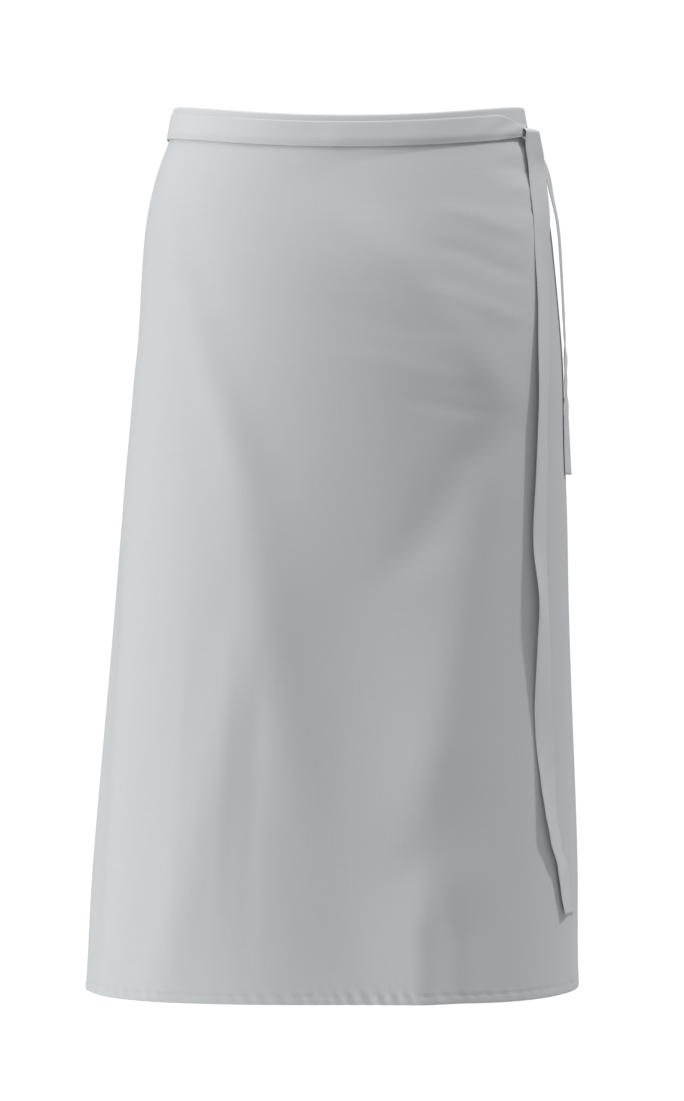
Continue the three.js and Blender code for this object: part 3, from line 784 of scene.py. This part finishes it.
class APRON_OT_skirt(bpy.types.Operator):
    """Makes the skirt's panel with its turned lower edge, and the hems inside it"""

    bl_idname = "apron.skirt"
    bl_label = "Skirt and hems"

    COLUMNS = 240
    SIDE_ROWS = 190
    STRIP_POINTS = 7
    # The panel's rows lie closer together near the hem and closest at the fold.
    NEAR_HEM = 26
    NEAR_FOLD = 3
    BAND_ROWS = 7
    SKIRT_ROWS = 152
    HEM_ROWS = 14
    # How far the panel's edge and the hem's reach past the fold, inside.
    PANEL_TUCK = 1.2
    HEM_TUCK = 1.5
    SIDE_START = 0.1
    # From an end of a seam to its first stitch, and from a side hem's inner edge to its seam.
    SEAM_START = 4
    SIDE_SEAM_INSET = 1.6

    def execute(self, context):
        cloth, size = fine_cloth(), sizes()
        half, radius = size.cloth_thickness / 2, size.fold_radius
        edge_inset = size.fold_radius + half
        panel = self.panel(cloth, size, half, radius, edge_inset)
        hem = self.bottom_hem(cloth, size, half, radius, edge_inset)
        sides = [self.side_hem(cloth, size, half, radius, side) for side in (-1, 1)]
        sewn = self.stitches(cloth, size, half, radius)
        return {"FINISHED"}

    def panel(self, cloth, size, half, radius, inset):
        near_hem, near_fold = size.apron_drop - self.NEAR_HEM, size.apron_drop - self.NEAR_FOLD
        down = np.concatenate([
            np.linspace(size.tape_thickness + size.clearance, size.band_height, self.BAND_ROWS),
            np.linspace(size.band_height, near_hem, self.SKIRT_ROWS)[1:],
            np.linspace(near_hem, near_fold, self.HEM_ROWS)[1:],
        ])
        straight = np.stack([np.zeros_like(down), size.apron_drop - down], axis=1)
        fold = turned(radius) + (0, half)
        inside = np.array([[-2 * radius, radius + half + self.PANEL_TUCK]])
        section = sided(np.concatenate([straight, fold, inside]), half)
        return self.across_skirt("skirt_panel_cloth", "skirt_panel", cloth, size, section, inset)

    def bottom_hem(self, cloth, size, half, radius, inset):
        up = np.linspace(radius + half + self.HEM_TUCK, size.hem_height, self.STRIP_POINTS)
        section = sided(np.stack([np.full_like(up, -2 * radius), up], axis=1)[::-1], half)
        return self.across_skirt("bottom_hem_cloth", "bottom_hem", cloth, size, section, inset)

    def across_skirt(self, name, solid, cloth, size, section, inset):
        """A piece with one section, given as (proud, above the hem), all the way across the skirt."""
        across = cloth_columns(cloth, self.COLUMNS, inset)
        rings = cloth.point(across[:, None], cloth.above(section[:, 1])[None, :], section[:, 0][None, :])
        places = weave_places(across[:, None], size.apron_drop - section[:, 1][None, :])
        return dress(lofted(name, rings, places, finish("polycotton_poplin_woven")), "panel_cloth", solid)

    def side_hem(self, cloth, size, half, radius, side):
        fold = turned(radius) + (0, half)
        start = np.array([[0, radius + half - self.SIDE_START]])
        inward = np.linspace(fold[-1, 1], size.hem_width, self.STRIP_POINTS)[1:]
        strip = np.stack([np.full_like(inward, -2 * radius), inward], axis=1)
        section = sided(np.concatenate([start, fold[1:], strip]), half)
        top = size.band_height + 2 * size.clearance
        low = size.apron_drop - size.hem_height - 2 * size.clearance
        down = np.linspace(top, low, self.SIDE_ROWS)
        across = side * (cloth.edge - section[:, 1])
        rings = cloth.point(across[None, :], cloth.below(down)[:, None], section[:, 0][None, :])
        places = weave_places(across[None, :], down[:, None])
        solid = "side_hem_right" if side > 0 else "side_hem_left"
        made = lofted(solid + "_cloth", rings, places, finish("polycotton_poplin_woven"))
        return dress(made, "panel_cloth", solid)

    def stitches(self, cloth, size, half, radius):
        faces = ((half, 1), (-2 * radius - half, -1))
        first, last = -cloth.edge + self.SEAM_START, cloth.edge - self.SEAM_START
        starts = np.arange(first, last - size.stitch_pitch, size.stitch_pitch)
        drop = float(cloth.above(size.hem_height - HEM_SEAM_INSET))
        rows = level_seam(cloth, size, starts, drop, faces)
        top, low = size.band_height + self.SEAM_START, size.apron_drop - size.hem_height - self.SEAM_START
        down = np.arange(top, low, size.stitch_pitch)
        for side in (-1, 1):
            across = np.full_like(down, side * (cloth.edge - size.hem_width + self.SIDE_SEAM_INSET))
            for proud, facing in faces:
                a = cloth.point(across, cloth.below(down), proud)
                b = cloth.point(across, cloth.below(down + size.stitch_length), proud)
                rows.append((a, b, facing * cloth.out(across, cloth.below(down))))
        sewn = stitches("skirt_stitches", rows, size.thread_radius, finish("polyester_thread_spun"))
        return dress(sewn, "panel_cloth")


class APRON_OT_waistband(bpy.types.Operator):
    """Makes the folded tape that binds the skirt's top edge"""

    bl_idname = "apron.waistband"
    bl_label = "Waistband"

    COLUMNS = 200
    WALL_POINTS = 12
    FOLD_POINTS = 9
    EDGE_INSET = 0.3
    # From an end of the band's seam to its first stitch.
    SEAM_START = 3
    DRAWN_DEPTH = 0.22

    def execute(self, context):
        cloth, size = smooth_cloth(), sizes()
        half, away = size.tape_thickness / 2, size.band_proud
        wall = np.linspace(size.band_height - self.EDGE_INSET, away + half, self.WALL_POINTS)
        outside = np.stack([np.full_like(wall, away), wall], axis=1)
        turn = np.linspace(0, math.pi, self.FOLD_POINTS)[1:-1]
        over = np.stack([away * np.cos(turn), half + away * (1 - np.sin(turn))], axis=1)
        inside = np.stack([np.full_like(wall, -away), wall[::-1]], axis=1)
        section = sided(np.concatenate([outside, over, inside]), half)
        across = cloth_columns(cloth, self.COLUMNS, 0)
        from_seam = section[:, 1] - size.band_height + size.seam_inset
        drawn = self.DRAWN_DEPTH * np.exp(-((from_seam / TAPE_SEAM_SPREAD) ** 2))
        proud = section[:, 0] - np.sign(section[:, 0]) * drawn
        rings = cloth.point(across[:, None], cloth.below(section[:, 1])[None, :], proud[None, :])
        places = weave_places(section[:, 1][None, :], across[:, None])
        band = lofted("waistband_tape", rings, places, finish("polycotton_tape_woven"))
        dress(band, "tape_cloth", "waistband")
        first, last = -cloth.edge + self.SEAM_START, cloth.edge - self.SEAM_START
        starts = np.arange(first, last - size.stitch_pitch, size.stitch_pitch)
        drop = float(cloth.below(size.band_height - size.seam_inset))
        proud = away + half - THREAD_SINK
        rows = level_seam(cloth, size, starts, drop, ((proud, 1), (-proud, -1)))
        sewn = stitches("waistband_stitches", rows, size.thread_radius, finish("polyester_thread_spun"))
        dress(sewn, "tape_cloth")
        return {"FINISHED"}


# Places across a tape from its middle to an edge, closer together at the edge and at the seam.
HALF_SHARES = (0.1, 0.22, 0.33, 0.4, 0.43, 0.465, 0.49, 0.5)
TAPE_SHARES = np.array([*(-share for share in reversed(HALF_SHARES)), 0.0, *HALF_SHARES])


def lengths_along(points):
    """The length along a line of points, at each of them."""
    steps = np.linalg.norm(np.diff(points, axis=0), axis=1)
    return np.concatenate([[0], np.cumsum(steps)])


def tape_piece(name, middle, width, size, relief=None, out=None, seam=-1):
    """A tie or free end: a flat tape with a line of stitches along one edge. seam is that edge's side."""
    along = lengths_along(middle)
    if out is None:
        way = np.gradient(middle, axis=0)
        out = unit(np.cross(width, way))
    half = size.tape_thickness / 2
    seam_share = seam * (0.5 - size.seam_inset / size.tape_width)
    grid_along, grid_share = np.meshgrid(along, TAPE_SHARES, indexing="ij")
    lift = relief(grid_along, grid_share) if relief else np.zeros_like(grid_along)
    rings = tape_rings(middle, width, out, TAPE_SHARES, half, lift)
    from_seam = (TAPE_SHARES - seam_share) * size.tape_width
    drawn = THREAD_SINK * np.exp(-((from_seam / TAPE_SEAM_SPREAD) ** 2))
    rings -= np.concatenate([drawn, -drawn[::-1]])[None, :, None] * out[:, None, :]
    places = tape_places(along, TAPE_SHARES, size.tape_width)
    piece = lofted(name, rings, places, finish("polycotton_tape_woven"))
    starts = np.arange(TAPE_SEAM_START, along[-1] - TAPE_SEAM_END, size.stitch_pitch)

    def at(lengths, source):
        return np.stack([np.interp(lengths, along, source[:, k]) for k in range(3)], axis=-1)

    rows = []
    for facing in (1, -1):
        ends = []
        for lengths in (starts, starts + size.stitch_length):
            face = at(lengths, middle) + at(lengths, width) * seam_share
            lifted = relief(lengths, np.full_like(lengths, seam_share)) if relief else np.zeros_like(lengths)
            ends.append(face + at(lengths, out) * (lifted + facing * (half - THREAD_SINK))[:, None])
        rows.append((ends[0], ends[1], facing * unit(at(starts, out))))
    sewn = stitches(name + "_stitches", rows, size.thread_radius, finish("polyester_thread_spun"))
    dress(sewn, "tape_cloth")
    return piece, sewn, along[-1]


class APRON_OT_ties(bpy.types.Operator):
    """Makes the tie across the front, the tie across the open back, and their stitches"""

    bl_idname = "apron.ties"
    bl_label = "Ties"

    GAP_STATIONS = 22
    BAND_STATIONS = 200
    BACK_STATIONS = 150
    # The front tie is lifted off the open back over a share of its gap, and comes down off the band over a
    # share of half the cloth's width.
    LIFT_SHARE = 0.8
    LOWER_SHARE = 0.6
    # Before the knot the front tie is drawn together over this length: its top edge falls, its low edge
    # stays back and it stands further out.
    DRAWN_LENGTH = 47
    DRAWN_TOP = 11
    DRAWN_LOW = 2.5
    DRAWN_OUT = 2.2
    TIE_NARROWER = 1
    SLACK_OUT = 2.4
    # The back tie narrows by this share over the last of its way to the knot.
    NARROWING = 0.45
    NARROW_FROM = 0.88
    CREASE_PLACE = -8

    def execute(self, context):
        cloth, size = smooth_cloth(), sizes()
        self.front(cloth, size)
        self.back(cloth, size)
        return {"FINISHED"}

    def front(self, cloth, size):
        knot_side = cloth.knot_across - size.knot_half_width + size.knot_tuck
        over_gap = np.linspace(cloth.edge + size.clearance, cloth.edge + size.back_gap, self.GAP_STATIONS)
        on_band = np.linspace(-cloth.edge, knot_side, self.BAND_STATIONS)[1:]
        at = np.concatenate([over_gap, on_band])
        past = at - cloth.edge
        front = past <= 0
        lifted = np.where(front, 1, smooth(0, self.LIFT_SHARE * size.back_gap, past))
        lowered = np.where(front, smooth(-cloth.edge, -self.LOWER_SHARE * cloth.edge, at), 0)
        drawn_end = knot_side - size.knot_tuck
        drawn = np.where(front, smooth(knot_side - self.DRAWN_LENGTH, drawn_end, at), 0)
        band, below = size.band_height, size.tie_below_top
        top = mix(mix(size.tape_thickness / 2, below, lowered), below + self.DRAWN_TOP, drawn)
        low_edge = mix(band, band + below - self.TIE_NARROWER, lowered)
        bottom = mix(low_edge, band + below - self.DRAWN_LOW, drawn)
        outside = size.band_proud + size.tape_thickness + size.clearance
        slack = self.SLACK_OUT * lowered * (1 - lowered)
        proud = outside * lifted + slack + self.DRAWN_OUT * drawn
        high = cloth.point(at, cloth.below(top), proud)
        low = cloth.point(at, cloth.below(bottom), proud)
        middle, width = (high + low) / 2, low - high
        out = unit(np.cross(np.gradient(middle, axis=0), -width))

        def relief(along, share):
            """A faint pressed crease at the front, and pulls towards the knot."""
            end = smooth(0.86 * self.long, self.long, along)
            pull = 0.35 * np.sin(7 * share + along / 6.5) * end
            rub = 0.18 * np.sin(along / 17) * np.sin(along / 41 + 2 * share)
            crease = 0.5 * np.exp(-(((along - self.crease) / 9) ** 2))
            lean = 1.1 * smooth(0.2, 0.5, share) * smooth(0.35, 0.5, along / self.long)
            return pull + rub + crease - lean

        self.long = lengths_along(middle)[-1]
        self.crease = float(np.interp(self.CREASE_PLACE, on_band, lengths_along(middle)[len(over_gap):]))
        piece, sewn, long = tape_piece("wrap_tie_tape", middle, width, size, relief, out, seam=1)
        dress(piece, "tape_cloth", "wrap_tie")

    def back(self, cloth, size):
        knot_side = cloth.knot_across + size.knot_half_width + size.clearance
        start = cloth.edge + size.back_gap - size.clearance
        at = np.linspace(start, knot_side, self.BACK_STATIONS)
        way = (start - at) / (start - knot_side)
        below = size.tape_width * between(BACK_TIE, "way", "below", way)
        proud = size.tape_width * between(BACK_TIE, "way", "proud", way)
        narrow = size.tape_width * (1 - self.NARROWING * smooth(self.NARROW_FROM, 1, way)) / 2
        high = cloth.point(at, cloth.below(below - narrow), proud)
        low = cloth.point(at, cloth.below(below + narrow), proud)
        middle, width = (high + low) / 2, low - high
        out = unit(np.cross(np.gradient(middle, axis=0), width))

        def relief(along, share):
            """Small pulls where the tie leaves the band and where it runs into the knot."""
            return 0.2 * np.sin(6 * share + along / 8) * (1 - smooth(20, 70, along))

        piece, sewn, long = tape_piece("back_tie_tape", middle, width, size, relief, out, seam=1)
        dress(piece, "tape_cloth", "back_tie")


def knot_frame(cloth, size):
    """The knot's middle and its directions along the ring and out."""
    across, below = cloth.knot_across, cloth.below(size.knot_below_top)
    proud = size.band_proud + size.tape_thickness / 2 + size.clearance + size.knot_half_depth
    middle = cloth.point(across, below, proud)
    out = middle - cloth.middle(np.asarray(across, float), np.asarray(below, float))
    out = unit(np.array([out[0], out[1], 0.0]))
    return middle, np.cross((0, 0, 1), out), out


class APRON_OT_knot(bpy.types.Operator):
    """Makes the knot, with the folds of the tapes that cross in it"""

    bl_idname = "apron.knot"
    bl_label = "Knot"

    TURNS = 96
    TILTS = 56
    # The knot's two ends are flattened to this share of its half width.
    FLAT_END = 0.9

    def execute(self, context):
        cloth, size = smooth_cloth(), sizes()
        middle, along, out = knot_frame(cloth, size)
        turns, tilts = self.TURNS, self.TILTS
        turn = np.linspace(0, 2 * math.pi, turns, endpoint=False)
        tilt = np.linspace(0, math.pi, tilts + 1)[1:-1]
        turn, tilt = np.meshgrid(turn, tilt)
        x, y, z = np.cos(tilt), np.sin(tilt) * np.sin(turn), np.sin(tilt) * np.cos(turn)
        swell = self.folds(x, y, z)
        local = np.stack([x * swell, y * swell, z * swell], axis=-1)
        ends = np.array([[1.0, 0, 0], [-1.0, 0, 0]]) * self.FLAT_END
        local = np.concatenate([local.reshape(-1, 3), ends])
        reach = np.array([size.knot_half_width, size.knot_half_height, size.knot_half_depth])
        axes = np.stack([along, (0, 0, 1), out])
        points = middle + (local * reach) @ axes
        rows = tilts - 1
        faces = []
        for r in range(rows - 1):
            for c in range(turns):
                a, b = r * turns + c, r * turns + (c + 1) % turns
                faces.append((a, a + turns, b + turns, b))
        first, last = rows * turns, rows * turns + 1
        for c in range(turns):
            d = (c + 1) % turns
            faces.append((first, c, d))
            faces.append((last, (rows - 1) * turns + d, (rows - 1) * turns + c))
        knot = make_object("knot_tape", points, faces, local * reach, finish("polycotton_tape_woven"))
        dress(knot, "tape_cloth", "knot")
        return {"FINISHED"}

    def folds(self, x, y, z):
        """How far the surface swells: a slanting wrap round the middle, and folds in the tapes beside it."""
        lean = x + 0.35 * y
        wrap = 1 - 0.2 * np.exp(-(((np.abs(lean) - 0.42) / 0.1) ** 2))
        in_wrap = 1 - smooth(0.34, 0.48, np.abs(lean))
        around = np.arctan2(y, z)
        wrap_folds = 0.035 * np.cos(lean * 26 + 1.5 * np.sin(around))
        side_folds = 0.07 * np.cos(around * 5 + 2 * x)
        return wrap * (1 + in_wrap * wrap_folds + (1 - in_wrap) * side_folds)


class APRON_OT_free_ends(bpy.types.Operator):
    """Makes the long free end, folded over the knot, and the short one behind it"""

    bl_idname = "apron.free_ends"
    bl_label = "Free ends"

    LONG_STATIONS = 260
    SHORT_STATIONS = 130
    FOLD_STATIONS = 10
    # The long end is narrower in its fold over the knot, by these shares.
    FOLD_NARROWER = 0.16
    FOLD_CORNER = 0.1

    def execute(self, context):
        cloth, size = smooth_cloth(), sizes()
        middle = knot_frame(cloth, size)[0]
        self.long_end(cloth, size, middle)
        self.short_end(cloth, size, middle)
        return {"FINISHED"}

    def long_end(self, cloth, size, knot):
        half = size.tape_thickness / 2
        top = knot[2] + size.knot_half_height + half - size.clearance
        drop = np.linspace(0, 1, self.LONG_STATIONS)
        z = top - size.fold_rise - (size.long_tail_length - size.fold_rise) * drop
        level = cloth.drop_of_height(z)
        x = cloth.reach("right", level) * between(LONG_TAIL, "drop", "across", drop)
        y = -cloth.reach("front", level) * between(LONG_TAIL, "drop", "depth", drop)
        turn = np.radians(between(LONG_TAIL, "drop", "turn", drop))
        wide = size.tape_width * between(LONG_TAIL, "drop", "width", drop)
        a = np.stack([x, y, z], axis=1)
        width = np.stack([wide * np.cos(turn), wide * np.sin(turn), np.zeros_like(z)], axis=1)
        inward = unit(np.array([-width[0, 1], width[0, 0], 0.0]))
        fold = np.linspace(math.pi / 2, 0, self.FOLD_STATIONS)[:-1]
        move = inward * (size.fold_over * (1 - np.cos(fold)))[:, None]
        move[:, 2] += size.fold_rise * np.sin(fold)
        a = np.concatenate([a[0] + move, a])
        narrow = 1 - self.FOLD_NARROWER * (1 - np.cos(fold)) - self.FOLD_CORNER * np.sin(fold) ** 4
        width = np.concatenate([width[:1] * narrow[:, None], width])
        middle = a + width / 2
        long = size.long_tail_length

        def relief(along, share):
            """Small wrinkles low down, where the end was held, and a soft wave along its edges."""
            low = smooth(0.72 * long, 0.95 * long, along)
            wrinkle = 0.5 * np.sin(along / 5.2 + 5 * share) * np.sin(along / 23 + 1)
            wave = 0.35 * np.sin(along / 21 + 1.3) * share * 2
            return low * wrinkle + wave

        piece, sewn, total = tape_piece("long_tail_tape", middle, width, size, relief)
        dress(piece, "tape_cloth", "long_tail")

    def short_end(self, cloth, size, knot):
        top = knot[2] - size.knot_half_height - size.clearance
        drop = np.linspace(0, 1, self.SHORT_STATIONS)
        z = top - size.short_tail_length * drop
        level = cloth.drop_of_height(z)
        forward = between(SHORT_TAIL, "drop", "depth", drop)
        square = size.ring_squareness
        beside = cloth.reach("right", level) * (1 - forward ** square) ** (1 / square)
        x = beside + size.tape_width * between(SHORT_TAIL, "drop", "away", drop)
        middle = np.stack([x, -cloth.reach("front", level) * forward, z], axis=1)
        turn = np.radians(between(SHORT_TAIL, "drop", "turn", drop))
        wide = size.tape_width * between(SHORT_TAIL, "drop", "width", drop)
        width = np.stack([wide * np.cos(turn), wide * np.sin(turn), np.zeros_like(z)], axis=1)
        long = size.short_tail_length

        def relief(along, share):
            """Crumpled a little past the middle."""
            held = smooth(0.5 * long, 0.65 * long, along) * (1 - smooth(0.78 * long, 0.92 * long, along))
            return held * 0.7 * np.sin(along / 4.6 + 4 * share) * np.sin(along / 13 + 2)

        piece, sewn, total = tape_piece("short_tail_tape", middle, width, size, relief)
        dress(piece, "tape_cloth", "short_tail")


class APRON_OT_stage(bpy.types.Operator):
    """Makes the camera, the studio lights, the white surroundings and the pale floor"""

    bl_idname = "apron.stage"
    bl_label = "Stage"

    CAMERA_PLACE = (-0.005, -5.0, -0.393)
    FRAME_HEIGHT = 1.0096
    SENSOR = 36.0
    FLOOR_HEIGHT = -1.4
    FLOOR_RADIUS = 1.3
    # Each light's place, what it is turned to, and its size in metres or its angle in degrees.
    KEY_LIGHT = ((-2.75, -1.15, -0.1), (0, 0, -0.4), (1.4, 2.2))
    TOP_LIGHT = ((1.0, 0.06, 1.73), (0, 0, 0), 4)
    OVERHEAD_LIGHT = ((-0.1, -0.5, 1.3), (0, -0.1, -0.4), (1.2, 0.6))
    WHITE_SEEN = 1.02
    FILL_COLOUR = (0.985, 0.995, 1.0, 1)

    def execute(self, context):
        scene = context.scene
        colours = scene.apron_colours
        scene.view_settings.view_transform = "Standard"
        self.camera(scene)
        self.key_light(colours)
        self.top_light(colours)
        self.overhead_light(colours)
        self.surroundings(scene, colours)
        self.floor(colours)
        return {"FINISHED"}

    def camera(self, scene):
        data = bpy.data.cameras.new("camera")
        data.sensor_fit = "AUTO"
        data.sensor_width = self.SENSOR
        data.lens = self.SENSOR * -self.CAMERA_PLACE[1] / self.FRAME_HEIGHT
        camera = bpy.data.objects.new("camera", data)
        camera.location = self.CAMERA_PLACE
        camera.rotation_euler = (math.pi / 2, 0, 0)
        scene.collection.objects.link(camera)
        scene.camera = camera

    def add_light(self, name, data, place, target):
        light = bpy.data.objects.new(name, data)
        light.location = place
        light.rotation_euler = (Vector(target) - Vector(place)).to_track_quat("-Z", "Y").to_euler()
        light.visible_camera = False
        bpy.context.scene.collection.objects.link(light)

    def area_light(self, name, power, place, target, size):
        data = bpy.data.lights.new(name, "AREA")
        data.shape = "RECTANGLE"
        data.size, data.size_y = size
        data.energy = power
        self.add_light(name, data, place, target)

    def key_light(self, colours):
        """A large soft light on the left, a little in front and above."""
        self.area_light("key_light", colours.key_power, *self.KEY_LIGHT)

    def top_light(self, colours):
        """A smaller, harder light from the upper right, which draws the shadows of the ties."""
        place, target, degrees = self.TOP_LIGHT
        data = bpy.data.lights.new("top_light", "SUN")
        data.energy = colours.top_strength
        data.angle = math.radians(degrees)
        self.add_light("top_light", data, place, target)

    def overhead_light(self, colours):
        """A soft light above and a little in front, which falls off towards the hem."""
        self.area_light("overhead_light", colours.overhead_power, *self.OVERHEAD_LIGHT)

    def surroundings(self, scene, colours):
        """White to look at, and a dimmer even light on the apron."""
        world = bpy.data.worlds.new("white_studio")
        world.use_nodes = True
        tree = world.node_tree
        tree.nodes.clear()
        white = {"Color": (1, 1, 1, 1), "Strength": self.WHITE_SEEN}
        dimmer = {"Color": self.FILL_COLOUR, "Strength": colours.sky_strength}
        seen = node(tree, "ShaderNodeBackground", white).outputs[0]
        fill = node(tree, "ShaderNodeBackground", dimmer).outputs[0]
        looked_at = node(tree, "ShaderNodeLightPath").outputs["Is Camera Ray"]
        both = node(tree, "ShaderNodeMixShader", {0: looked_at, 1: fill, 2: seen}).outputs[0]
        node(tree, "ShaderNodeOutputWorld", {"Surface": both})
        scene.world = world

    def floor(self, colours):
        bpy.ops.mesh.primitive_circle_add(
            vertices=96, radius=self.FLOOR_RADIUS, fill_type="NGON", location=(0, 0, self.FLOOR_HEIGHT)
        )
        floor = bpy.context.object
        floor.name = "studio_floor"
        # Matt white paint on board: even and bright, without gloss.
        floor.data.materials.append(plain("emulsion_paint_white", colours.floor, roughness=0.9))


class APRON_PT_panel(bpy.types.Panel):
    """The apron's sizes, colours and pieces"""

    bl_idname = "APRON_PT_panel"
    bl_label = "Waist Apron"
    bl_space_type = "VIEW_3D"
    bl_region_type = "UI"
    bl_category = "Apron"

    def draw(self, context):
        layout = self.layout
        for operator in OPERATORS:
            layout.operator(operator.bl_idname)
        for group in (context.scene.apron_skirt, context.scene.apron_tape, context.scene.apron_colours):
            box = layout.box()
            for key in group.bl_rna.properties.keys():
                if key not in ("rna_type", "name"):
                    box.prop(group, key)


OPERATORS = (
    APRON_OT_stage,
    APRON_OT_skirt,
    APRON_OT_waistband,
    APRON_OT_ties,
    APRON_OT_knot,
    APRON_OT_free_ends,
)
GROUPS = (ApronSkirt, ApronTape, ApronColours)


def register():
    for cls in (*GROUPS, *OPERATORS, APRON_PT_panel):
        bpy.utils.register_class(cls)
    bpy.types.Scene.apron_skirt = PointerProperty(type=ApronSkirt)
    bpy.types.Scene.apron_tape = PointerProperty(type=ApronTape)
    bpy.types.Scene.apron_colours = PointerProperty(type=ApronColours)


def unregister():
    del bpy.types.Scene.apron_colours
    del bpy.types.Scene.apron_tape
    del bpy.types.Scene.apron_skirt
    for cls in reversed((*GROUPS, *OPERATORS, APRON_PT_panel)):
        bpy.utils.unregister_class(cls)


def main():
    register()
    bpy.ops.apron.stage()
    bpy.ops.apron.skirt()
    bpy.ops.apron.waistband()
    bpy.ops.apron.ties()
    bpy.ops.apron.knot()
    bpy.ops.apron.free_ends()


if __name__ == "__main__":
    main()
